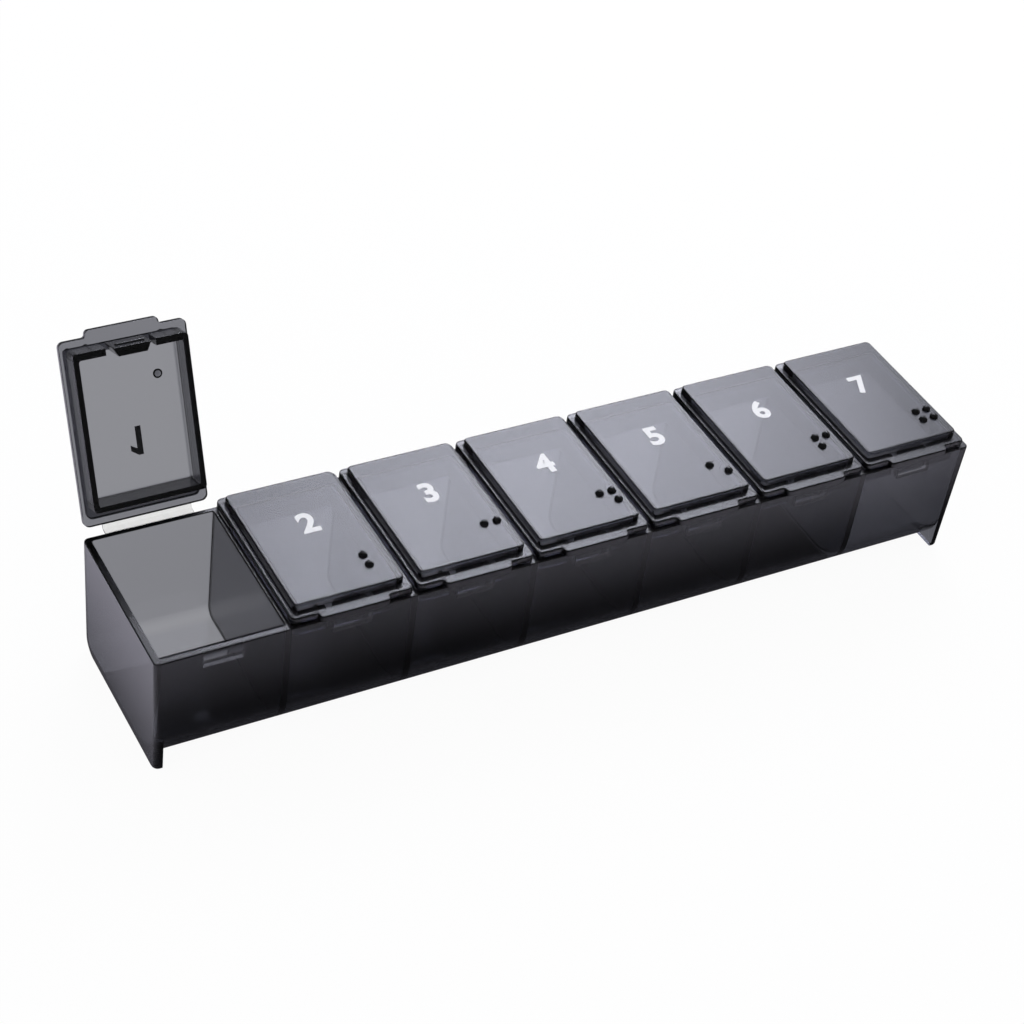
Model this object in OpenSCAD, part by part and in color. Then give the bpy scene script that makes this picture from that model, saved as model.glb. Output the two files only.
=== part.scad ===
// Weekly pill organizer: a tray of seven cells in a row, each under its own snap lid on a film hinge.
// X runs along the row from the first day to the last, Y from front to back, Z up.
// The origin is on the underside, under the middle of the tray. The first lid stands open.

/* [Tray] */
// Distance between neighbouring cells, centre to centre
cell_pitch = 28; // [25:0.5:34]
// Depth of the tray, front to back
tray_depth = 39.5; // [36:0.5:46]
// Height of the rim above the table
tray_height = 30; // [24:0.5:40]
// How far each end wall stands outside the outermost cell's half pitch
end_land = 0.7; // [0.4:0.1:1.5]
// Thickness of the two end walls
end_wall = 1.6; // [1.4:0.1:2]
// How far each end wall leans in at the table
end_lean = 0.7; // [0:0.1:0.8]
// Thickness of the front wall
front_wall = 1.6; // [1.2:0.1:2]
// Thickness of the back wall
back_wall = 1.2; // [1:0.1:2]
// Thickness of the floor
floor_t = 1.1; // [0.9:0.1:2]
// Thickness of the dividers between the cells
divider_t = 1.2; // [0.8:0.1:2]
// Outer radius of the scooped edge between front wall and floor
front_round = 10; // [5:0.5:13]
// Outer radius of the edge between back wall and floor
back_round = 3.5; // [2.5:0.5:8]
// Thickness of the end walls' feet under the scoop, from the rim's outer face
foot_t = 2.4; // [2:0.1:3]
// Radius of the end walls' front foot corners
foot_round = 1; // [0.5:0.5:5]
// Radius of the tray's upright corners
corner_round = 1.2; // [0.5:0.1:1.8]

/* [Lid] */
// Gap between neighbouring lids
lid_side_gap = 0.9; // [0.4:0.1:1.2]
// Gap between the rim and a closed lid
lid_seat_gap = 0.1; // [0.05:0.05:0.3]
// Thickness of the flange that covers the rim
flange_t = 1.5; // [1.2:0.1:2.5]
// How far the flange stays behind the tray's front face
flange_front_set = 0.85; // [0.5:0.05:1.2]
// How far the flange reaches over the tray's back face
flange_back_over = 0.55; // [0.2:0.05:0.6]
// Radius of the flange's front corners
flange_front_round = 1.2; // [0.8:0.1:3]
// Radius of the flange's back corners
flange_back_round = 1.4; // [0.8:0.1:3]
// Height of the raised panel above the flange
panel_rise = 1.6; // [1.2:0.1:3]
// Width of the ledge beside the raised panel
ledge_side = 1.3; // [1:0.05:2]
// Width of the ledge in front of the raised panel
ledge_front = 2; // [1:0.1:2.5]
// Width of the ledge behind the raised panel
ledge_back = 1.3; // [1:0.1:3]
// Radius of the raised panel's corners
panel_round = 1.2; // [0.8:0.1:3]
// Radius along the raised panel's top edges
panel_edge = 0.4; // [0.2:0.05:0.8]
// Wall thickness of the raised panel and the skirt
lid_wall = 1.2; // [0.8:0.1:1.6]
// How far the skirt reaches into the cell below the flange
skirt_depth = 4.2; // [3:0.1:4.8]
// Radius of the skirt's corners
skirt_round = 0.9; // [0.6:0.1:3]
// Clearance between the skirt and the nearest end wall
skirt_side_clear = 0.9; // [0.5:0.05:1.2]
// Clearance between the skirt and the front wall
skirt_front_clear = 0.9; // [0.8:0.05:1.2]
// Clearance between the skirt and the back wall
skirt_back_clear = 2.2; // [0.6:0.1:3]
// How far the first lid stands open
first_lid_angle = 113; // [0:1:180]

/* [Thumb tab and latch] */
// Width of the thumb tab
tab_w = 15.6; // [10:0.2:18]
// How far the thumb tab stands out from the flange
tab_out = 1.5; // [1.5:0.1:3]
// Radius of the thumb tab's corners
tab_round = 0.9; // [0.4:0.1:0.9]
// Radius where the thumb tab runs into the flange
tab_fillet = 0.6; // [0.3:0.1:0.6]
// Width of the latch tongue
tongue_w = 8.2; // [6:0.2:11]
// How far the latch tongue reaches below the flange
tongue_depth = 5.2; // [4.9:0.1:5.6]
// Thickness of the latch tongue
tongue_t = 2; // [1.6:0.1:2.6]
// Slant at the sides of the latch tongue
tongue_slant = 1; // [0.4:0.1:1.5]
// Width of the slot on each side of the latch tongue
notch_w = 1.2; // [0.8:0.1:2]
// Radius of the nose on the latch tongue
nose_r = 0.5; // [0.4:0.05:0.8]
// How far the nose stands out from the latch tongue
nose_out = 0.45; // [0.1:0.05:0.5]
// Depth of the nose's centre below the rim
nose_drop = 3.4; // [3:0.1:3.6]
// Width of the catch in the front wall
catch_w = 8.6; // [5:0.2:10]
// Height of the catch
catch_h = 2.8; // [2.4:0.1:3.2]
// Distance from the rim down to the catch
catch_drop = 1.6; // [1.2:0.1:2]
// Depth of the catch in the front wall
catch_depth = 0.6; // [0.3:0.05:0.7]

/* [Film hinge] */
// Width of the film hinge
film_w = 19.4; // [12:0.2:22]
// Thickness of the film hinge's leaves
film_t = 0.5; // [0.3:0.05:0.6]
// Distance from the back wall to the hinge line
hinge_reach = 1.4; // [1.4:0.1:3]
// Radius of the bead on the hinge line
bead_r = 0.3; // [0.2:0.05:0.35]
// Clearance between the bead and the lid's leaf
bead_clear = 0.15; // [0.1:0.05:0.25]

/* [Tactile dots] */
// Diameter of a dot
dot_d = 2; // [1.4:0.1:2.4]
// Height of a dot
dot_h = 0.6; // [0.4:0.05:0.8]
// Distance between dots, centre to centre
dot_pitch = 3; // [2.5:0.1:3.5]
// Distance from the panel's right edge to the first column of dots
dot_from_side = 5.2; // [4.5:0.05:8]
// Distance from the panel's front edge to the first row of dots
dot_from_front = 9; // [7:0.1:12]

/* [Hidden] */
days = ["sunday", "monday", "tuesday", "wednesday", "thursday", "friday", "saturday"];
day_count = len(days);

// Dots of the raised numbers one to seven, each as [column, row] in the braille cell
dot_marks = [
    [[0, 0]],
    [[0, 0], [0, 1]],
    [[0, 0], [1, 0]],
    [[0, 0], [1, 0], [1, 1]],
    [[0, 0], [1, 1]],
    [[0, 0], [1, 0], [0, 1]],
    [[0, 0], [1, 0], [0, 1], [1, 1]],
];

tray_colour = [0.16, 0.16, 0.18, 0.85];
lid_colour = [0.42, 0.43, 0.46, 0.85];
film_colour = [0.82, 0.82, 0.8, 0.85];

// Cutters run this far past the faces that they open
spill = 1;
$fn = 40;
// Sides round one dot, which repeats often
dot_sides = 20;

half_length = day_count * cell_pitch / 2 + end_land;
half_depth = tray_depth / 2;
cell_front = front_wall - half_depth;
cell_back = half_depth - back_wall;

flange_z = tray_height + lid_seat_gap;
flange_top = flange_z + flange_t;
panel_top = flange_top + panel_rise;
flange_half = (cell_pitch - lid_side_gap) / 2;
flange_front = flange_front_set - half_depth;
flange_back = half_depth + flange_back_over;
panel_half = flange_half - ledge_side;
panel_front = flange_front + ledge_front;
panel_back = flange_back - ledge_back;
skirt_half = cell_pitch / 2 + end_land - end_wall - skirt_side_clear;
skirt_front = cell_front + skirt_front_clear;
skirt_back = cell_back - skirt_back_clear;
skirt_z = flange_z - skirt_depth;
pocket_half = min(skirt_half, panel_half) - lid_wall;
pocket_front = max(skirt_front, panel_front) + lid_wall;
pocket_back = min(skirt_back, panel_back) - lid_wall;
pocket_round = max(skirt_round - lid_wall, 0.4);
pocket_top = panel_top - lid_wall;

hinge_y = half_depth + hinge_reach;
hinge_z = tray_height + lid_seat_gap / 2;
leaf_cut_r = bead_r + bead_clear;

// Radius of the sphere whose cap is one dot
dot_r = (dot_d * dot_d / 4 + dot_h * dot_h) / (2 * dot_h);

function named(prefix) = [for (day = days) str(prefix, day)];
function cell_x(k) = (k - (day_count - 1) / 2) * cell_pitch;
function cell_left(k) = k == 0 ? end_wall - half_length : cell_x(k) - (cell_pitch - divider_t) / 2;
function cell_right(k) = k == day_count - 1 ? half_length - end_wall : cell_x(k) + (cell_pitch - divider_t) / 2;
function open_angle(k) = k == 0 ? first_lid_angle : 0;

// What is cut off a square corner at the origin to leave a round one
module corner_cut(r) {
    difference() {
        translate([-spill, -spill])
            square(r + spill);
        translate([r, r])
            circle(r);
    }
}

// Rectangle from lo to hi, with a radius for each corner: low left, low right, high right, high left
module round_rect(lo, hi, radii) {
    corners = [lo, [hi.x, lo.y], hi, [lo.x, hi.y]];
    turns = [0, 90, 180, 270];
    difference() {
        translate(lo)
            square(hi - lo);
        for (i = [0:3])
            if (radii[i] > 0)
                translate(corners[i])
                    rotate(turns[i])
                        corner_cut(radii[i]);
    }
}

// Draws a front-to-back section, given in Y and Z, from x0 to x1
module along_x(x0, x1) {
    translate([x0, 0, 0])
        rotate([90, 0, 90])
            linear_extrude(x1 - x0)
                children();
}

// Draws a left-to-right section, given in X and Z, from y0 to y1
module along_y(y0, y1) {
    translate([0, y1, 0])
        rotate([90, 0, 0])
            linear_extrude(y1 - y0)
                children();
}

// Section of the raised panel across one direction, with rounded top edges
module panel_section(lo, hi) {
    round_rect([lo, flange_z], [hi, panel_top], [0, 0, panel_edge, panel_edge]);
}

// Outside of the tray: a trough with a scooped front edge between two square end walls
module tray_outside() {
    lo = [-half_depth, 0];
    hi = [half_depth, tray_height];
    along_x(-half_length, half_length)
        round_rect(lo, hi, [front_round, back_round, 0, 0]);
    for (x0 = [-half_length, half_length - foot_t])
        along_x(x0, x0 + foot_t)
            round_rect(lo, hi, [foot_round, back_round, 0, 0]);
}

// Section along the row that leans the end walls in towards the table
module end_section() {
    foot_half = half_length - end_lean;
    polygon([
        [-foot_half, 0],
        [foot_half, 0],
        [half_length, tray_height],
        [-half_length, tray_height],
    ]);
}

// Space inside one cell
module cell_space(k) {
    along_x(cell_left(k), cell_right(k))
        round_rect(
            [cell_front, floor_t],
            [cell_back, tray_height + spill],
            [front_round - front_wall, back_round - back_wall, 0, 0]
        );
}

// Shallow pocket inside the front wall for the latch's nose, with a slanted top that lets the nose out
module catch_space(k) {
    catch_top = tray_height - catch_drop;
    catch_low = catch_top - catch_h;
    along_x(cell_x(k) - catch_w / 2, cell_x(k) + catch_w / 2)
        polygon([
            [cell_front - catch_depth, catch_low],
            [cell_front + spill, catch_low],
            [cell_front + spill, catch_top + spill],
            [cell_front - catch_depth, catch_top - catch_depth],
        ]);
}

module tray() {
    color(tray_colour)
        difference() {
            intersection() {
                tray_outside();
                along_y(-half_depth, half_depth)
                    end_section();
                linear_extrude(tray_height)
                    round_rect(
                        [-half_length, -half_depth],
                        [half_length, half_depth],
                        [corner_round, corner_round, corner_round, corner_round]
                    );
            }
            for (k = [0 : day_count - 1]) {
                cell_space(k);
                catch_space(k);
            }
        }
}

// Plan of the flange with its thumb tab
module flange_plan() {
    tab_half = tab_w / 2;
    round_rect(
        [-flange_half, flange_front],
        [flange_half, flange_back],
        [flange_front_round, flange_front_round, flange_back_round, flange_back_round]
    );
    round_rect(
        [-tab_half, flange_front - tab_out],
        [tab_half, flange_front + spill],
        [tab_round, tab_round, 0, 0]
    );
    for (side = [0, 1])
        mirror([side, 0])
            translate([tab_half, flange_front])
                mirror([0, 1])
                    difference() {
                        translate([-spill, -spill])
                            square(tab_fillet + spill);
                        translate([tab_fillet, tab_fillet])
                            circle(tab_fillet);
                    }
}

// Raised panel, down to the flange's underside
module panel_block() {
    intersection() {
        translate([0, 0, flange_z])
            linear_extrude(panel_top - flange_z)
                round_rect(
                    [-panel_half, panel_front],
                    [panel_half, panel_back],
                    [panel_round, panel_round, panel_round, panel_round]
                );
        along_y(panel_front, panel_back)
            panel_section(-panel_half, panel_half);
        along_x(-panel_half, panel_half)
            panel_section(panel_front, panel_back);
    }
}

// Block that becomes the skirt round the lid's underside
module skirt_block() {
    translate([0, 0, skirt_z])
        linear_extrude(flange_top - skirt_z)
            round_rect(
                [-skirt_half, skirt_front],
                [skirt_half, skirt_back],
                [skirt_round, skirt_round, skirt_round, skirt_round]
            );
}

// Hollow under the raised panel, open downwards
module lid_pocket() {
    translate([0, 0, skirt_z - spill])
        linear_extrude(pocket_top - skirt_z + spill)
            round_rect(
                [-pocket_half, pocket_front],
                [pocket_half, pocket_back],
                [pocket_round, pocket_round, pocket_round, pocket_round]
            );
}

// Slots that free the latch tongue from the skirt
module latch_slots() {
    for (side = [0, 1])
        mirror([side, 0, 0])
            translate([tongue_w / 2, skirt_front - spill, skirt_z - spill])
                cube([notch_w, pocket_front - skirt_front + spill, skirt_depth + spill]);
}

// Latch tongue with a round nose that faces the front wall
module latch_tongue() {
    tongue_half = tongue_w / 2;
    tongue_z = flange_z - tongue_depth;
    nose_half = tongue_half - tongue_slant;
    translate([0, 0, tongue_z])
        linear_extrude(flange_top - tongue_z)
            polygon([
                [-tongue_half, skirt_front],
                [tongue_half, skirt_front],
                [tongue_half - tongue_slant, skirt_front + tongue_t],
                [tongue_slant - tongue_half, skirt_front + tongue_t],
            ]);
    translate([-nose_half, skirt_front + nose_r - nose_out, tray_height - nose_drop])
        rotate([0, 90, 0])
            cylinder(r = nose_r, h = 2 * nose_half);
}

// Raised dots that read the day's number
module tactile_dots(k) {
    first_dot = [panel_half - dot_from_side, panel_front + dot_from_front];
    for (mark = dot_marks[k])
        translate([first_dot.x + mark.x * dot_pitch, first_dot.y - mark.y * dot_pitch, panel_top])
            intersection() {
                translate([0, 0, dot_h - dot_r])
                    sphere(dot_r, $fn = dot_sides);
                translate([-dot_d, -dot_d, -lid_wall / 2])
                    cube([2 * dot_d, 2 * dot_d, lid_wall / 2 + dot_h + spill]);
            }
}

// Puts a closed piece on its cell, turned about the hinge line where that day's lid is open
module at_lid(k) {
    translate([cell_x(k), hinge_y, hinge_z])
        rotate([-open_angle(k), 0, 0])
            translate([0, -hinge_y, -hinge_z])
                children();
}

module lid(k) {
    color(lid_colour)
        at_lid(k) {
            difference() {
                union() {
                    translate([0, 0, flange_z])
                        linear_extrude(flange_t)
                            flange_plan();
                    panel_block();
                    skirt_block();
                }
                lid_pocket();
                latch_slots();
            }
            latch_tongue();
            tactile_dots(k);
        }
}

// Tray's half of the film hinge, which ends in a bead on the hinge line
module hinge_tray_leaf(k) {
    color(film_colour)
        translate([cell_x(k) - film_w / 2, 0, 0]) {
            translate([0, half_depth, tray_height - film_t])
                cube([film_w, hinge_reach, film_t]);
            translate([0, hinge_y, hinge_z])
                rotate([0, 90, 0])
                    cylinder(r = bead_r, h = film_w);
        }
}

// Lid's half of the film hinge, which wraps round the bead
module hinge_lid_leaf(k) {
    color(film_colour)
        at_lid(k)
            translate([-film_w / 2, 0, 0])
                difference() {
                    translate([0, flange_back, flange_z])
                        cube([film_w, hinge_y - bead_clear - flange_back, film_t]);
                    translate([-spill, hinge_y, hinge_z])
                        rotate([0, 90, 0])
                            cylinder(r = leaf_cut_r, h = film_w + 2 * spill);
                }
}

tray();
for (k = [0 : day_count - 1]) {
    lid(k);
    hinge_tray_leaf(k);
    hinge_lid_leaf(k);
}
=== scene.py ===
import bpy
import bmesh
from math import asin, cos, pi, radians, sin
from mathutils import Matrix, Vector


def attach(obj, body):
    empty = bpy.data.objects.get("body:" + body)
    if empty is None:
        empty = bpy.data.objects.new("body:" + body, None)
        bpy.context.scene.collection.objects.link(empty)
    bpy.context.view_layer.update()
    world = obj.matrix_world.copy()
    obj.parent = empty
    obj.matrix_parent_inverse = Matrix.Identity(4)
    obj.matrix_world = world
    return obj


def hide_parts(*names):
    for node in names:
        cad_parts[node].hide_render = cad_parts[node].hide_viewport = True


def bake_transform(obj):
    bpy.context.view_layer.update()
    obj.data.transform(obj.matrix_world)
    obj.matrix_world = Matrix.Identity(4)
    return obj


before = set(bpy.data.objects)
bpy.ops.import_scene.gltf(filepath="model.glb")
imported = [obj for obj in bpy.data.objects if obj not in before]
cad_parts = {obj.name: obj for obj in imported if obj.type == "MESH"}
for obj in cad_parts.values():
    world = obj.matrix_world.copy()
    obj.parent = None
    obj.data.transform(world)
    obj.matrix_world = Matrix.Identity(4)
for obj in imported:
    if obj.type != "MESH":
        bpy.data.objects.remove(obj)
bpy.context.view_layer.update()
scene = bpy.context.scene

dayNames = ["sunday", "monday", "tuesday", "wednesday", "thursday", "friday", "saturday"]
cellPitch = 28.0   # every length of a piece is in mm, and a finished mesh is scaled to metres
cellCentres = [(i - (len(dayNames) - 1) / 2) * cellPitch for i in range(len(dayNames))]
hingeLine = {"y": 21.15, "z": 30.05}
openAngle = {"sunday": 113.0}   # the first lid stands open, the others are shut
weldGap = 0.0005   # points of a mesh that lie closer than this are one point
toMetres = Matrix.Scale(0.001, 4)


def linearColour(hexText):
    # sRGB hex to the linear values that the shaders work in
    shares = [int(hexText[i:i + 2], 16) / 255 for i in (1, 3, 5)]
    return [c / 12.92 if c <= 0.04045 else ((c + 0.055) / 1.055) ** 2.4 for c in shares] + [1.0]


def addNode(tree, kind, settings=None, inputs=None):
    # settings go on the node itself, inputs on its sockets: a socket takes a value or another node's output
    node = tree.nodes.new(kind)
    for name, value in (settings or {}).items():
        setattr(node, name, value)
    for name, value in (inputs or {}).items():
        if isinstance(value, bpy.types.NodeSocket):
            tree.links.new(value, node.inputs[name])
        else:
            node.inputs[name].default_value = value
    return node


def newMaterial(name):
    material = bpy.data.materials.new(name)
    material.use_nodes = True
    material.node_tree.nodes.clear()
    return material, material.node_tree


def perMetre(sizeMm):
    # texture scale for a pattern whose features are this many mm across
    return 1000.0 / sizeMm


# camera, from the fit of the photo's edges: place in metres, and the way that it looks
viewpoint = {
    "place": (-0.226917, -0.324687, 0.355779),
    "forward": (0.42599, 0.63522, -0.64423),
    "up": (0.22610, 0.61473, 0.75564),
    "lens": 83.692,
}
forward = Vector(viewpoint["forward"]).normalized()
right = forward.cross(Vector(viewpoint["up"])).normalized()
upward = right.cross(forward)
facing = Matrix((right, upward, -forward)).transposed().to_4x4()
cameraData = bpy.data.cameras.new("photoCamera")
cameraData.lens = viewpoint["lens"]
cameraData.sensor_width = 36
cameraData.clip_start = 0.01
cameraData.clip_end = 20
camera = bpy.data.objects.new("photoCamera", cameraData)
camera.matrix_world = Matrix.Translation(viewpoint["place"]) @ facing
scene.collection.objects.link(camera)
scene.camera = camera
print("camera set, lens", viewpoint["lens"])

# polypropylene, tinted smoke grey and moulded in a polished tool: clear enough to see through one wall and
# nearly black through two, with a gloss that is in part sharp and in part spread by a fine haze, and a skin
# that is very slightly wavy from the flow
smoke = {
    "absorption": 1000, "passes": "#00144b",   # per metre; what passes is a little blue
    "ior": 1.49,
    "roughness": (0.015, 0.05), "hazeMm": 9.0, "hazeSpan": (0.35, 0.7),
    "sharpGloss": 0.25, "softGloss": 1.0, "softRoughness": 0.4,
    "waveMm": 16.0, "waveDepthMm": 0.004,
}


def smokePlastic(name, seed):
    material, tree = newMaterial(name)
    place = addNode(tree, "ShaderNodeTexCoord")
    shifted = addNode(tree, "ShaderNodeMapping", inputs={
        "Vector": place.outputs["Object"], "Location": (seed, 0, 0)})
    haze = addNode(tree, "ShaderNodeTexNoise", inputs={
        "Vector": shifted.outputs[0], "Scale": perMetre(smoke["hazeMm"]), "Detail": 4.0, "Roughness": 0.6})
    hazeRange = addNode(tree, "ShaderNodeMapRange", inputs={
        "Value": haze.outputs["Fac"], "From Min": smoke["hazeSpan"][0], "From Max": smoke["hazeSpan"][1],
        "To Min": smoke["roughness"][0], "To Max": smoke["roughness"][1]})
    wave = addNode(tree, "ShaderNodeTexNoise", inputs={
        "Vector": shifted.outputs[0], "Scale": perMetre(smoke["waveMm"]), "Detail": 1.0})
    flow = addNode(tree, "ShaderNodeBump", inputs={
        "Height": wave.outputs["Fac"], "Distance": smoke["waveDepthMm"] / 1000, "Strength": 1.0})
    skin = addNode(tree, "ShaderNodeBsdfPrincipled", inputs={
        "Base Color": linearColour("#ffffff"),
        "Roughness": hazeRange.outputs[0],
        "IOR": smoke["ior"],
        "Specular Tint": [smoke["sharpGloss"]] * 3 + [1.0],
        "Transmission Weight": 1.0,
        "Coat Weight": smoke["softGloss"],
        "Coat Roughness": smoke["softRoughness"],
        "Coat IOR": smoke["ior"],
        "Normal": flow.outputs[0],
    })
    tint = addNode(tree, "ShaderNodeVolumeAbsorption", inputs={
        "Color": linearColour(smoke["passes"]),
        "Density": smoke["absorption"],
    })
    addNode(tree, "ShaderNodeOutputMaterial", inputs={"Surface": skin.outputs[0], "Volume": tint.outputs[0]})
    return material


trayPlastic = smokePlastic("smokePolypropylene_mouldedTray", 0.0)
lidPlastic = smokePlastic("smokePolypropylene_mouldedLid", 0.7)

# natural polypropylene film, coined thin at the fold: nearly clear, with a milky white where it was worked
film = {
    "colour": "#f0f0ef", "whitened": "#fafaf9", "clear": 0.95, "roughness": 0.25, "ior": 1.49,
    "streakMm": 0.8, "alongStreak": 0.15,   # the streaks run across the fold
    "rippleMm": 0.02, "ripple": 0.6,
}
filmPlastic, tree = newMaterial("naturalPolypropylene_coinedFilm")
place = addNode(tree, "ShaderNodeTexCoord")
stretched = addNode(tree, "ShaderNodeMapping", inputs={
    "Vector": place.outputs["Object"], "Scale": (1.0, film["alongStreak"], film["alongStreak"])})
streak = addNode(tree, "ShaderNodeTexNoise", inputs={
    "Vector": stretched.outputs[0], "Scale": perMetre(film["streakMm"]), "Detail": 3.0})
tone = addNode(tree, "ShaderNodeMix", {"data_type": "RGBA"}, {
    0: streak.outputs["Fac"], 6: linearColour(film["colour"]), 7: linearColour(film["whitened"])})
ripple = addNode(tree, "ShaderNodeBump", inputs={
    "Height": streak.outputs["Fac"], "Distance": film["rippleMm"] / 1000, "Strength": film["ripple"]})
skin = addNode(tree, "ShaderNodeBsdfPrincipled", inputs={
    "Base Color": tone.outputs[2],
    "Roughness": film["roughness"],
    "IOR": film["ior"],
    "Transmission Weight": film["clear"],
    "Normal": ripple.outputs[0],
})
addNode(tree, "ShaderNodeOutputMaterial", inputs={"Surface": skin.outputs[0]})

# white pad-printing ink: a thin matte layer, dense but a little uneven where the pad let go
ink = {"colour": "#f2f2f2", "thin": "#dcdcde", "roughness": 0.45, "ior": 1.5, "grainMm": 0.5}
whiteInk, tree = newMaterial("whiteInk_padPrinted")
place = addNode(tree, "ShaderNodeTexCoord")
grain = addNode(tree, "ShaderNodeTexNoise", inputs={
    "Vector": place.outputs["Object"], "Scale": perMetre(ink["grainMm"]), "Detail": 4.0})
tone = addNode(tree, "ShaderNodeMix", {"data_type": "RGBA"}, {
    0: grain.outputs["Fac"], 6: linearColour(ink["thin"]), 7: linearColour(ink["colour"])})
skin = addNode(tree, "ShaderNodeBsdfPrincipled", inputs={
    "Base Color": tone.outputs[2], "Roughness": ink["roughness"], "IOR": ink["ior"]})
addNode(tree, "ShaderNodeOutputMaterial", inputs={"Surface": skin.outputs[0]})
print("materials made:", len(bpy.data.materials))


def meshFromBmesh(name, made):
    bmesh.ops.recalc_face_normals(made, faces=made.faces)
    mesh = bpy.data.meshes.new(name)
    made.to_mesh(mesh)
    made.free()
    return mesh


def combined(mesh, tool, operation):
    # one boolean, applied: returns a new mesh and clears away both of the old ones
    base = bpy.data.objects.new("base", mesh)
    cutter = bpy.data.objects.new("cutter", tool)
    scene.collection.objects.link(base)
    scene.collection.objects.link(cutter)
    step = base.modifiers.new("step", "BOOLEAN")
    step.operation = operation
    step.solver = "EXACT"
    step.object = cutter
    bpy.context.view_layer.update()
    result = bpy.data.meshes.new_from_object(base.evaluated_get(bpy.context.evaluated_depsgraph_get()))
    for temporary in (base, cutter):
        bpy.data.objects.remove(temporary)
    bpy.data.meshes.remove(mesh)
    bpy.data.meshes.remove(tool)
    return result


def addPiece(name, mesh, material, sharpAngle=40):
    # finished piece: smooth over its rounds, flat on its flats
    mesh.name = name
    mesh.materials.clear()
    mesh.materials.append(material)
    mesh.polygons.foreach_set("use_smooth", [True] * len(mesh.polygons))
    mesh.polygons.foreach_set("material_index", [0] * len(mesh.polygons))
    mesh.set_sharp_from_angle(angle=radians(sharpAngle))
    piece = bpy.data.objects.new(name, mesh)
    scene.collection.objects.link(piece)
    level = piece.modifiers.new("flatFaces", "WEIGHTED_NORMAL")
    level.keep_sharp = True
    level.weight = 100
    return piece


def loft(made, loops):
    # closed skin over loops that all have the same number of points
    rows = [[made.verts.new(point) for point in loop] for loop in loops]
    for low, high in zip(rows, rows[1:]):
        for i in range(len(low)):
            j = (i + 1) % len(low)
            made.faces.new((low[i], low[j], high[j], high[i]))
    made.faces.new(list(reversed(rows[0])))
    made.faces.new(rows[-1])


def quarter(start, end, uprightFirst, steps=3):
    # a quarter round from one (inset, height) to another; uprightFirst leaves the start along a wall,
    # otherwise it leaves along a flat
    path = []
    for i in range(steps + 1):
        turn = radians(90 * i / steps)
        early, late = sin(turn), 1 - cos(turn)
        acrossShare, upShare = (late, early) if uprightFirst else (early, late)
        path.append((start[0] + (end[0] - start[0]) * acrossShare,
                     start[1] + (end[1] - start[1]) * upShare))
    return path


# tray: a trough between two end plates, seven cells and the latch catches, all edges of the rim softened
tray = {
    "halfLength": 98.7, "halfDepth": 19.75, "height": 30.0,
    "endWall": 1.6, "lean": 0.7, "cornerRound": 1.2, "cornerSteps": 5,
    "scoop": 10.0, "footThick": 2.4, "foot": 1.0, "backRound": 3.5, "roundSteps": 10,
    "frontWall": 1.6, "backWall": 1.2, "floor": 1.1, "divider": 1.2,
    "cellFillet": 0.4, "cutAbove": 2.0, "rimRound": 0.3, "rimSteps": 3, "rimAngle": 60, "flatWithin": 0.5,
    "catchWide": 8.6, "catchDrop": 1.6, "catchHigh": 2.8, "catchDeep": 0.9, "catchOpen": 0.5,
}


def traySection(x, walls, frontRound, backRound, low, lean=0.0, height=tray["height"]):
    # front-to-back section with rounds at its two lower edges; the scoop's ends are always points of it
    front, back = walls
    steps, scoop = tray["roundSteps"], tray["scoop"]
    points = [(front, height), (front, low + scoop)]
    for i in range(steps + 1):
        turn = radians(180 + 90 * i / steps)
        points.append((front + frontRound + frontRound * cos(turn),
                       low + frontRound + frontRound * sin(turn)))
    points.append((front + scoop, low))
    for i in range(steps + 1):
        turn = radians(270 + 90 * i / steps)
        points.append((back - backRound + backRound * cos(turn),
                       low + backRound + backRound * sin(turn)))
    points.append((back, height))
    return [(x - lean * (1 - z / tray["height"]) * (1 if x > 0 else -1), y, z) for y, z in points]


made = bmesh.new()
sections = []
for side in (-1, 1):
    endLoops = []
    for i in range(tray["cornerSteps"] + 1):
        turn = radians(90 * i / tray["cornerSteps"])
        draw = tray["cornerRound"] * (1 - sin(turn))
        x = side * (tray["halfLength"] - tray["cornerRound"] * (1 - cos(turn)))
        walls = (draw - tray["halfDepth"], tray["halfDepth"] - draw)
        endLoops.append(traySection(x, walls, tray["foot"], tray["backRound"], 0, tray["lean"]))
    x = side * (tray["halfLength"] - tray["footThick"])
    walls = (-tray["halfDepth"], tray["halfDepth"])
    for frontRound in (tray["foot"], tray["scoop"]):
        endLoops.append(traySection(x, walls, frontRound, tray["backRound"], 0))
    sections += endLoops if side < 0 else list(reversed(endLoops))
loft(made, sections)
bmesh.ops.remove_doubles(made, verts=made.verts, dist=weldGap)
trayMesh = meshFromBmesh("tray", made)

made = bmesh.new()   # the seven cells
innerEnd = tray["halfLength"] - tray["endWall"]
halfCell = (cellPitch - tray["divider"]) / 2
front, back = tray["frontWall"] - tray["halfDepth"], tray["halfDepth"] - tray["backWall"]
scoopInside, backInside = tray["scoop"] - tray["frontWall"], tray["backRound"] - tray["backWall"]
fillet = tray["cellFillet"]
midFillet = 0.29 * fillet   # where a quarter round is half way round
for centre in cellCentres:
    left = -innerEnd if centre == cellCentres[0] else centre - halfCell
    rightEnd = innerEnd if centre == cellCentres[-1] else centre + halfCell
    loops = []
    for x, draw in ((left, fillet), (left + midFillet, midFillet), (left + fillet, 0),
                    (rightEnd - fillet, 0), (rightEnd - midFillet, midFillet), (rightEnd, fillet)):
        loops.append(traySection(x, (front + draw, back - draw), scoopInside, backInside,
                                 tray["floor"] + draw, height=tray["height"] + tray["cutAbove"]))
    loft(made, loops)
bmesh.ops.remove_doubles(made, verts=made.verts, dist=weldGap)
trayMesh = combined(trayMesh, meshFromBmesh("cells", made), "DIFFERENCE")

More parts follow.
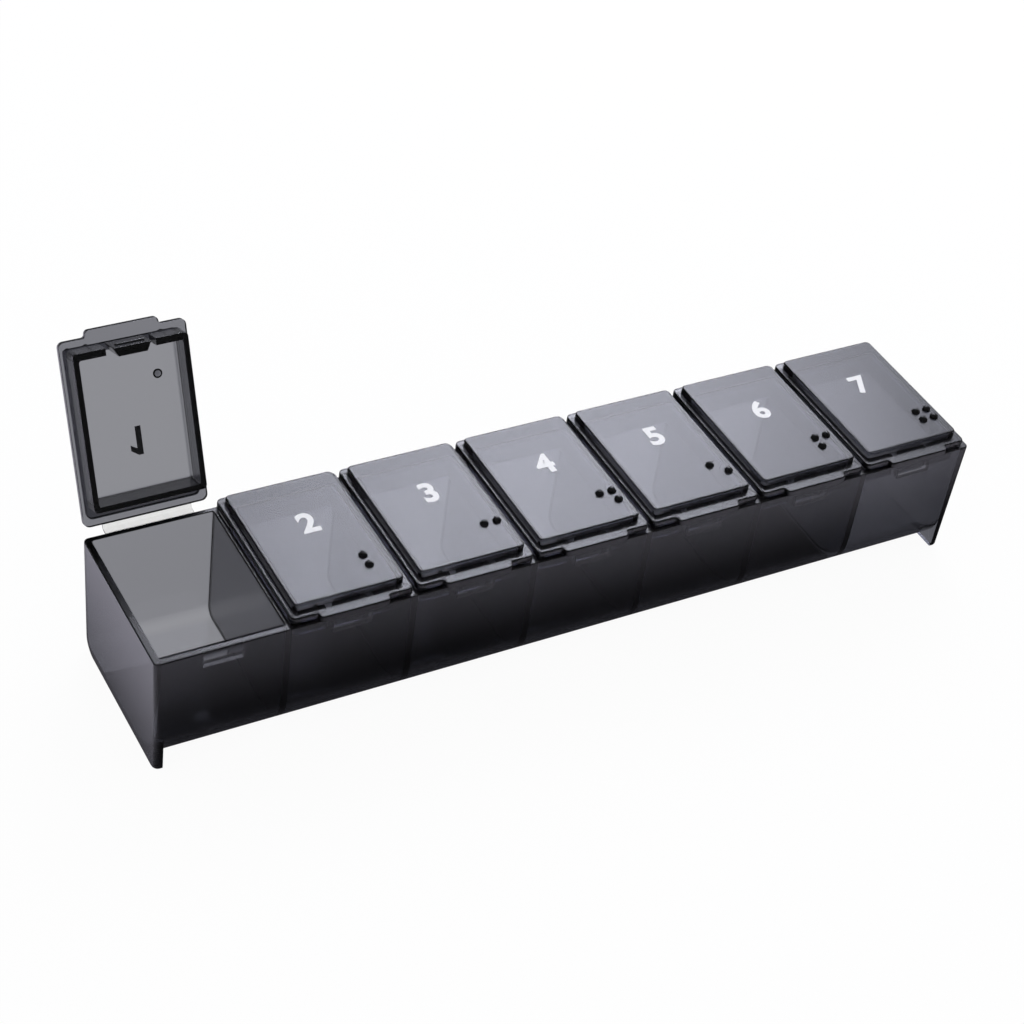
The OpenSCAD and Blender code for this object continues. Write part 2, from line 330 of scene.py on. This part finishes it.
made = bmesh.new()   # the catches, cut into the front wall from inside
top = tray["height"] - tray["catchDrop"]
low = top - tray["catchHigh"]
deep, inside = front - tray["catchDeep"], front + tray["catchOpen"]
wedge = [(deep, low), (inside, low), (inside, top + tray["catchOpen"]), (deep, top - tray["catchDeep"])]
for centre in cellCentres:
    ends = [centre + side * tray["catchWide"] / 2 for side in (-1, 1)]
    loft(made, [[(x, y, z) for y, z in wedge] for x in ends])
trayMesh = combined(trayMesh, meshFromBmesh("catches", made), "DIFFERENCE")

made = bmesh.new()   # the rim's edges
made.from_mesh(trayMesh)
bpy.data.meshes.remove(trayMesh)
bmesh.ops.dissolve_limit(made, angle_limit=radians(tray["flatWithin"]), verts=made.verts, edges=made.edges)
rim = [edge for edge in made.edges
       if all(abs(corner.co.z - tray["height"]) < 2 * weldGap for corner in edge.verts)
       and len(edge.link_faces) == 2 and edge.calc_face_angle() > radians(tray["rimAngle"])]
bmesh.ops.bevel(made, geom=rim, offset=tray["rimRound"], segments=tray["rimSteps"],
                profile=0.5, affect="EDGES")
trayMesh = meshFromBmesh("tray", made)
trayMesh.transform(toMetres)
trayPiece = addPiece("tray_moulding", trayMesh, trayPlastic)
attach(trayPiece, "tray_body")
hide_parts("tray")
print("tray made:", len(trayMesh.polygons), "faces,", len(rim), "rim edges rounded")

# lid: skirt, flange with thumb tab and raised panel in one skin, then the latch tongue and the raised dots
lid = {
    "flange": {"half": 13.55, "front": -18.9, "back": 20.3, "frontRound": 1.2, "backRound": 1.4},
    "panel": {"half": 12.25, "front": -16.9, "back": 19.0, "frontRound": 1.2, "backRound": 1.2},
    "skirt": {"half": 12.2, "front": -17.25, "back": 16.35, "frontRound": 0.9, "backRound": 0.9},
    "pocket": {"half": 11.0, "front": -15.7, "back": 15.15, "frontRound": 0.5, "backRound": 0.5},
    "skirtLow": 25.9, "flangeLow": 30.1, "flangeHigh": 31.6, "panelHigh": 33.2, "ceiling": 32.0,
    "edge": 0.15, "flangeEdge": 0.35, "panelEdge": 0.4, "pocketEdge": 0.4, "shownSteps": 5,
    "skirtFillet": 0.2, "rootFillet": 0.12,
    "tabHalf": 7.8, "tabOut": 1.5, "tabFillet": 0.6, "tabRound": 0.9, "tabSteps": 4,
    "tongueHalf": 4.1, "tongueSlant": 1.0, "tongueThick": 2.0, "tongueLow": 24.9, "tongueBelowTop": 0.15,
    "tongueRound": 0.25, "slot": 1.2, "slotPast": 0.3, "slotAbove": 0.02, "slotBelow": 1.0,
    "noseRadius": 0.5, "noseOut": 0.45, "noseDrop": 3.4, "noseEdge": 0.15, "noseSides": 20,
}


def lidLoop(part, inset, height, steps=6):
    # closed loop of one part of the lid, drawn in by inset; along the front only the flange follows the tab
    plan = lid[part]
    half, front, back = plan["half"] - inset, plan["front"] + inset, plan["back"] - inset
    frontRound, backRound = plan["frontRound"] - inset, plan["backRound"] - inset
    loop = []
    for x, y, radius, start in ((-half + frontRound, front + frontRound, frontRound, 180),
                                (half - frontRound, front + frontRound, frontRound, 270),
                                (half - backRound, back - backRound, backRound, 0),
                                (-half + backRound, back - backRound, backRound, 90)):
        for i in range(steps + 1):
            turn = radians(start + 90 * i / steps)
            loop.append((x + radius * cos(turn), y + radius * sin(turn), height))
        if start == 180:
            tabInset = inset if part == "flange" else 0.0
            hollow, corner = lid["tabFillet"] + tabInset, lid["tabRound"] - tabInset
            wide, tabFront = lid["tabHalf"] - tabInset, front - lid["tabOut"]
            edge = []
            for i in range(lid["tabSteps"] + 1):
                turn = radians(90 - 90 * i / lid["tabSteps"])
                edge.append((-wide - hollow + hollow * cos(turn), front - hollow + hollow * sin(turn)))
            for i in range(1, lid["tabSteps"] + 1):
                turn = radians(180 + 90 * i / lid["tabSteps"])
                edge.append((-wide + corner + corner * cos(turn), tabFront + corner + corner * sin(turn)))
            edge += [(-x, y) for x, y in reversed(edge)]
            loop += [(x, y if part == "flange" else front, height) for x, y in edge]
    return loop


edge, shownSteps = lid["edge"], lid["shownSteps"]
ceiling, pocketEdge = lid["ceiling"], lid["pocketEdge"]
skirtLow, skirtFillet = lid["skirtLow"], lid["skirtFillet"]
flangeLow, flangeHigh, flangeEdge = lid["flangeLow"], lid["flangeHigh"], lid["flangeEdge"]
rootFillet, panelHigh, panelEdge = lid["rootFillet"], lid["panelHigh"], lid["panelEdge"]
outline = [
    ("pocket", quarter((pocketEdge, ceiling), (0, ceiling - pocketEdge), False)),
    ("pocket", quarter((0, skirtLow + edge), (-edge, skirtLow), True)),
    ("skirt", quarter((edge, skirtLow), (0, skirtLow + edge), False)),
    ("skirt", quarter((0, flangeLow - skirtFillet), (-skirtFillet, flangeLow), True)),
    ("flange", quarter((edge, flangeLow), (0, flangeLow + edge), False)),
    ("flange", quarter((0, flangeHigh - flangeEdge), (flangeEdge, flangeHigh), True, shownSteps)),
    ("panel", quarter((-rootFillet, flangeHigh), (0, flangeHigh + rootFillet), False)),
    ("panel", quarter((0, panelHigh - panelEdge), (panelEdge, panelHigh), True, shownSteps)),
]
made = bmesh.new()
loft(made, [lidLoop(part, inset, height) for part, path in outline for inset, height in path])
lidMesh = meshFromBmesh("lid", made)

made = bmesh.new()   # the gap in the skirt that the tongue stands in
skirtFront, pocketFront = lid["skirt"]["front"], lid["pocket"]["front"]
gapHalf = lid["tongueHalf"] + lid["slot"]
gapFront, gapBack = skirtFront - lid["slotPast"], pocketFront + lid["slotPast"]
gap = [(-gapHalf, gapFront), (gapHalf, gapFront), (gapHalf, gapBack), (-gapHalf, gapBack)]
gapHeights = (skirtLow - lid["slotBelow"], flangeLow + lid["slotAbove"])
loft(made, [[(x, y, z) for x, y in gap] for z in gapHeights])
lidMesh = combined(lidMesh, meshFromBmesh("gap", made), "DIFFERENCE")

made = bmesh.new()
wide, narrow = lid["tongueHalf"], lid["tongueHalf"] - lid["tongueSlant"]
tongueBack = skirtFront + lid["tongueThick"]
tongue = [(-wide, skirtFront), (wide, skirtFront), (narrow, tongueBack), (-narrow, tongueBack)]
tongueHeights = (lid["tongueLow"], flangeHigh - lid["tongueBelowTop"])
loft(made, [[(x, y, z) for x, y in tongue] for z in tongueHeights])
bmesh.ops.bevel(made, geom=list(made.edges), offset=lid["tongueRound"], segments=2,
                profile=0.5, affect="EDGES")
lidMesh = combined(lidMesh, meshFromBmesh("tongue", made), "UNION")

made = bmesh.new()   # the rounded nose across the tongue's front
noseY, noseZ = skirtFront + lid["noseRadius"] - lid["noseOut"], tray["height"] - lid["noseDrop"]
full, small, noseEdge = lid["noseRadius"], lid["noseRadius"] - lid["noseEdge"], lid["noseEdge"]
noseTurns = [2 * pi * i / lid["noseSides"] for i in range(lid["noseSides"])]
noseRings = ((-narrow, small), (noseEdge - narrow, full), (narrow - noseEdge, full), (narrow, small))
loft(made, [[(x, noseY + radius * cos(turn), noseZ + radius * sin(turn)) for turn in noseTurns]
            for x, radius in noseRings])
lidMesh = combined(lidMesh, meshFromBmesh("nose", made), "UNION")
print("lid made:", len(lidMesh.polygons), "faces")

dots = {
    "wide": 2.0, "high": 0.95, "sunk": 0.25, "pitch": 3.0, "first": (7.05, -7.9),
    "rings": 8, "topRing": 88, "sides": 28,
    "marks": [   # tactile numbers 1 to 7, as columns and rows of dots
        [(0, 0)], [(0, 0), (0, 1)], [(0, 0), (1, 0)], [(0, 0), (1, 0), (1, 1)],
        [(0, 0), (1, 1)], [(0, 0), (1, 0), (0, 1)], [(0, 0), (1, 0), (0, 1), (1, 1)]],
}
ball = (dots["wide"] ** 2 / 4 + dots["high"] ** 2) / (2 * dots["high"])   # radius of each dot's sphere
ballMiddle = panelHigh + dots["high"] - ball
root = asin((panelHigh - dots["sunk"] - ballMiddle) / ball)
dotRises = [root + (radians(dots["topRing"]) - root) * i / (dots["rings"] - 1) for i in range(dots["rings"])]
dotTurns = [2 * pi * i / dots["sides"] for i in range(dots["sides"])]
toHinge = Matrix.Translation((0, hingeLine["y"], hingeLine["z"]))
fromHinge = Matrix.Translation((0, -hingeLine["y"], -hingeLine["z"]))
lidPlaces = {}   # from the shut lid of the middle cell to each day's own
for day, centre, marks in zip(dayNames, cellCentres, dots["marks"]):
    made = bmesh.new()
    for column, row in marks:
        x, y = dots["first"][0] + column * dots["pitch"], dots["first"][1] - row * dots["pitch"]
        loft(made, [[(x + ball * cos(rise) * cos(turn), y + ball * cos(rise) * sin(turn),
                      ballMiddle + ball * sin(rise)) for turn in dotTurns] for rise in dotRises])
    dayMesh = combined(lidMesh.copy(), meshFromBmesh("dots", made), "UNION")
    swing = toHinge @ Matrix.Rotation(radians(-openAngle.get(day, 0.0)), 4, "X") @ fromHinge
    lidPlaces[day] = Matrix.Translation((centre, 0, 0)) @ swing
    dayMesh.transform(toMetres @ lidPlaces[day])
    lidPiece = addPiece("lid_moulding_" + day, dayMesh, lidPlastic)
    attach(lidPiece, day + "_lid")
    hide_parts("lid_" + day)
bpy.data.meshes.remove(lidMesh)
print("lids set:", len(lidPlaces))

# numeral: plain and bold, one for each cell in turn, printed on the raised panel
numeral = {
    "high": 6.2, "centre": (0.6, 5.2), "thick": 0.03, "lift": 0.004, "weld": 0.002,
    "bolder": 0.035, "curveSteps": 6,
    "one": [(0.10, 0), (0.30, 0), (0.30, 1), (0.13, 1), (-0.12, 0.82), (-0.12, 0.62), (0.10, 0.76)],
}
for number, day in enumerate(dayNames, 1):
    if number == 1:   # the font's 1 is a bare bar, so this one has a flag, in shares of its height
        face = bpy.data.meshes.new("numeral")
        face.from_pydata([(x, y, 0) for x, y in numeral["one"]], [], [range(len(numeral["one"]))])
    else:
        strokes = bpy.data.curves.new("numeral", "FONT")
        strokes.body = str(number)
        strokes.offset = numeral["bolder"]
        strokes.resolution_u = numeral["curveSteps"]
        strokes.fill_mode = "FRONT"
        writing = bpy.data.objects.new("numeral", strokes)
        scene.collection.objects.link(writing)
        bpy.context.view_layer.update()
        face = bpy.data.meshes.new_from_object(writing.evaluated_get(bpy.context.evaluated_depsgraph_get()))
        bpy.data.objects.remove(writing)
        bpy.data.curves.remove(strokes)
    low = [min(corner.co[i] for corner in face.vertices) for i in (0, 1)]
    high = [max(corner.co[i] for corner in face.vertices) for i in (0, 1)]
    toMiddle = Matrix.Translation((-(low[0] + high[0]) / 2, -(low[1] + high[1]) / 2, 0))
    toSize = Matrix.Scale(numeral["high"] / (high[1] - low[1]), 4)
    face.transform(Matrix.Translation((*numeral["centre"], panelHigh + numeral["lift"])) @ toSize @ toMiddle)
    made = bmesh.new()
    made.from_mesh(face)
    bpy.data.meshes.remove(face)
    bmesh.ops.remove_doubles(made, verts=made.verts, dist=numeral["weld"])
    raised = bmesh.ops.extrude_face_region(made, geom=list(made.faces))["geom"]
    for corner in (item for item in raised if isinstance(item, bmesh.types.BMVert)):
        corner.co.z += numeral["thick"]
    numeralMesh = meshFromBmesh("numeral", made)
    numeralMesh.transform(toMetres @ lidPlaces[day])
    numeralPiece = addPiece("numeral_" + day, numeralMesh, whiteInk, sharpAngle=30)
    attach(numeralPiece, day + "_lid")
print("numerals printed")

# film hinge: leaves the tray's back wall, folds round the hinge line, where it is thinnest, and runs on to
# the flange
strip = {
    "half": 9.7, "thick": 0.42, "foldThick": 0.2, "besideFold": 0.3, "foldRadius": 0.27, "foldSteps": 10,
    "trayEdge": 19.753, "lidEdge": 20.3, "lidGap": 0.003,
    "trayTaper": 0.7, "lidTaper": 0.6, "bendReach": 0.12,
}
axis = Vector((hingeLine["y"], hingeLine["z"]))   # a film's points are in y and z
under = axis.y - strip["foldRadius"]
for day, centre in zip(dayNames, cellCentres):
    opened = openAngle.get(day, 0.0)
    lidWay = Vector((-cos(radians(opened)), sin(radians(opened))))   # from the hinge line towards the lid
    path = [(Vector((strip["trayEdge"], under)), strip["thick"]),
            (Vector((axis.x - strip["trayTaper"], under)), strip["thick"])]
    for i in range(strip["foldSteps"] + 1):
        turn = radians(-90 + (180 - opened) * i / strip["foldSteps"])
        nearFold = 1 - abs(2 * i / strip["foldSteps"] - 1)
        thick = strip["foldThick"] + (strip["besideFold"] - strip["foldThick"]) * (1 - nearFold)
        path.append((axis + strip["foldRadius"] * Vector((cos(turn), sin(turn))), thick))
    last = path[-1][0]
    for run in (strip["lidTaper"], axis.x - strip["lidEdge"] - strip["lidGap"]):
        path.append((last + lidWay * run, strip["thick"]))
    made = bmesh.new()
    loops = []
    for i, (point, thick) in enumerate(path):
        along = (path[min(i + 1, len(path) - 1)][0] - path[max(i - 1, 0)][0]).normalized()
        out = Vector((along.y, -along.x)) * thick / 2
        corners = [(-strip["half"], point + out), (strip["half"], point + out),
                   (strip["half"], point - out), (-strip["half"], point - out)]
        loops.append([(centre + x, corner.x, corner.y) for x, corner in corners])
    loft(made, loops)
    stripMesh = meshFromBmesh("film", made)
    stripMesh.transform(toMetres)
    stripPiece = addPiece("film_hinge_" + day, stripMesh, filmPlastic, sharpAngle=60)
    # the bend runs from the tray's leaf to the lid's
    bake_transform(stripPiece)
    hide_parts("hinge_tray_leaf_" + day, "hinge_lid_leaf_" + day)
print("film hinges bent")

# stage: matte white paper, which the shadow still shows on, under a soft fill and one large softbox behind
stage = {
    "paper": "#f3f3f3", "reach": 3.0, "floorDrop": 0.0001,
    "shownWhite": 0.95, "throughWhite": 0.95,
    "dark": {"X": (-0.0987, 0.07), "Y": (-0.0195, 0.010)},   # under the shut cells, in metres
    # painted shadow in what the walls mirror: it ends between these two places, in metres, and gives way to
    # the painted level given last
    "paintedShadowEdge": {"X": (-0.092, -0.118, 0.8), "Y": (-0.030, -0.056, 0.85)},   # metres, and the level beyond
    # the painted shadow's darkest level, and the painted tint of the paper that the walls mirror
    "paintedShadowLevel": 0.04, "paintedReflectionTint": "#f1eeff",
    "fill": 0.72, "room": 0.12,
}
reach = stage["reach"]
floorMesh = bpy.data.meshes.new("floor")
floorCorners = [(-reach, -reach, 0), (reach, -reach, 0), (reach, reach, 0), (-reach, reach, 0)]
floorMesh.from_pydata(floorCorners, [], [(0, 1, 2, 3)])
floor = bpy.data.objects.new("floor", floorMesh)
floor.location.z = -stage["floorDrop"]
scene.collection.objects.link(floor)
floorPaper, tree = newMaterial("whitePaper_matte")
paper = addNode(tree, "ShaderNodeBsdfDiffuse", inputs={"Color": linearColour(stage["paper"])})
rays = addNode(tree, "ShaderNodeLightPath")
place = addNode(tree, "ShaderNodeTexCoord")
spot = addNode(tree, "ShaderNodeSeparateXYZ", inputs={0: place.outputs["Object"]})
# seen through the plastic the paper is white, but not under the shut cells, where little light gets in
outside = []
for axisName, (low, high) in stage["dark"].items():
    offCentre = addNode(tree, "ShaderNodeMath", {"operation": "SUBTRACT"}, {
        0: spot.outputs[axisName], 1: (low + high) / 2})
    away = addNode(tree, "ShaderNodeMath", {"operation": "ABSOLUTE"}, {0: offCentre.outputs[0]})
    outside.append(addNode(tree, "ShaderNodeMath", {"operation": "GREATER_THAN"}, {
        0: away.outputs[0], 1: (high - low) / 2}))
clear = addNode(tree, "ShaderNodeMath", {"operation": "MAXIMUM"}, {
    0: outside[0].outputs[0], 1: outside[1].outputs[0]})
through = addNode(tree, "ShaderNodeMath", {"operation": "MULTIPLY"}, {
    0: rays.outputs["Is Transmission Ray"], 1: clear.outputs[0]})
throughShare = addNode(tree, "ShaderNodeMath", {"operation": "MULTIPLY"}, {
    0: through.outputs[0], 1: stage["throughWhite"]})
shown = addNode(tree, "ShaderNodeMath", {"operation": "MULTIPLY"}, {
    0: rays.outputs["Is Camera Ray"], 1: stage["shownWhite"]})
mirror = addNode(tree, "ShaderNodeMath", {"operation": "SUBTRACT"}, {   # a refracted ray counts as glossy too
    0: rays.outputs["Is Glossy Ray"], 1: rays.outputs["Is Transmission Ray"]})
# what the walls mirror is a painted shadow on the paper: the glow that mirrored rays see is dark near the
# box, to its front and left, and rises to a painted lit level beyond
lit = []
# each ramp paints the shadow's level into the glow that mirrored rays see, dark near the box and lighter
# beyond
for axisName, (near, far, level) in stage["paintedShadowEdge"].items():
    lit.append(addNode(tree, "ShaderNodeMapRange", {"interpolation_type": "SMOOTHSTEP"}, {
        "Value": spot.outputs[axisName], "From Min": near, "From Max": far,
        "To Min": stage["paintedShadowLevel"], "To Max": level}))
mirrored = addNode(tree, "ShaderNodeMath", {"operation": "MAXIMUM"}, {
    0: lit[0].outputs[0], 1: lit[1].outputs[0]})
# the glow's strength is 1 for other rays, and the painted shadow's level for mirrored ones
bright = addNode(tree, "ShaderNodeMix", inputs={0: mirror.outputs[0], 2: 1.0, 3: mirrored.outputs[0]})
# mirrored rays see the paper glow in a painted tint, the colour of the softbox's light on it
cast = addNode(tree, "ShaderNodeMix", {"data_type": "RGBA"}, {
    0: mirror.outputs[0], 6: linearColour("#ffffff"), 7: linearColour(stage["paintedReflectionTint"])})
glow = addNode(tree, "ShaderNodeEmission", inputs={"Color": cast.outputs[2], "Strength": bright.outputs[0]})
direct = addNode(tree, "ShaderNodeMath", {"operation": "MAXIMUM"}, {
    0: shown.outputs[0], 1: throughShare.outputs[0]})
share = addNode(tree, "ShaderNodeMath", {"operation": "MAXIMUM"}, {
    0: direct.outputs[0], 1: mirror.outputs[0]})
mixed = addNode(tree, "ShaderNodeMixShader", inputs={
    0: share.outputs[0], 1: paper.outputs[0], 2: glow.outputs[0]})
addNode(tree, "ShaderNodeOutputMaterial", inputs={"Surface": mixed.outputs[0]})
floor.data.materials.append(floorPaper)

world = bpy.data.worlds.new("studio")
scene.world = world
world.use_nodes = True
tree = world.node_tree
tree.nodes.clear()
air = linearColour("#ffffff")
# the fill lights matte surfaces, the gloss mirrors a darker room, and the camera sees white
fill = addNode(tree, "ShaderNodeBackground", inputs={"Color": air, "Strength": stage["fill"]})
room = addNode(tree, "ShaderNodeBackground", inputs={"Color": air, "Strength": stage["room"]})
white = addNode(tree, "ShaderNodeBackground", inputs={"Color": air, "Strength": 1.0})
rays = addNode(tree, "ShaderNodeLightPath")
lighting = addNode(tree, "ShaderNodeMixShader", inputs={
    0: rays.outputs["Is Glossy Ray"], 1: fill.outputs[0], 2: room.outputs[0]})
mixed = addNode(tree, "ShaderNodeMixShader", inputs={
    0: rays.outputs["Is Camera Ray"], 1: lighting.outputs[0], 2: white.outputs[0]})
addNode(tree, "ShaderNodeOutputWorld", inputs={"Surface": mixed.outputs[0]})

softbox = {
    "place": (0.42, 0.60, 0.62), "aim": (0, 0, 0.03), "size": (1.0, 0.8), "watts": 18.0, "colour": "#eef0ff",
    "middle": (0.54, 0.5), "falloff": 0.31, "rim": 0.15,   # shares of the sides, metres, and the least level
}
lampData = bpy.data.lights.new("softbox", "AREA")
lampData.shape = "RECTANGLE"
lampData.size, lampData.size_y = softbox["size"]
lampData.energy = softbox["watts"]
lampData.color = linearColour(softbox["colour"])[:3]
lampData.use_nodes = True   # the cloth of a softbox is brightest in the middle, over its bulb
tree = lampData.node_tree
tree.nodes.clear()
spot = addNode(tree, "ShaderNodeNewGeometry")
offMiddle = addNode(tree, "ShaderNodeVectorMath", {"operation": "SUBTRACT"}, {
    0: spot.outputs["Parametric"], 1: (*softbox["middle"], 0)})
inFalloffs = addNode(tree, "ShaderNodeVectorMath", {"operation": "MULTIPLY"}, {
    0: offMiddle.outputs[0], 1: [side / softbox["falloff"] for side in softbox["size"]] + [0]})
squared = addNode(tree, "ShaderNodeVectorMath", {"operation": "DOT_PRODUCT"}, {
    0: inFalloffs.outputs[0], 1: inFalloffs.outputs[0]})
dimmed = addNode(tree, "ShaderNodeMath", {"operation": "SUBTRACT"}, {0: 1.0, 1: squared.outputs["Value"]})
cloth = addNode(tree, "ShaderNodeMath", {"operation": "MAXIMUM"}, {0: dimmed.outputs[0], 1: softbox["rim"]})
glow = addNode(tree, "ShaderNodeEmission", inputs={"Strength": cloth.outputs[0]})
addNode(tree, "ShaderNodeOutputLight", inputs={"Surface": glow.outputs[0]})
lamp = bpy.data.objects.new("softbox", lampData)
lamp.location = softbox["place"]
lampWay = Vector(softbox["aim"]) - Vector(softbox["place"])
lamp.rotation_euler = lampWay.to_track_quat("-Z", "Y").to_euler()
scene.collection.objects.link(lamp)
print("stage lit")

scene.view_settings.view_transform = "Standard"
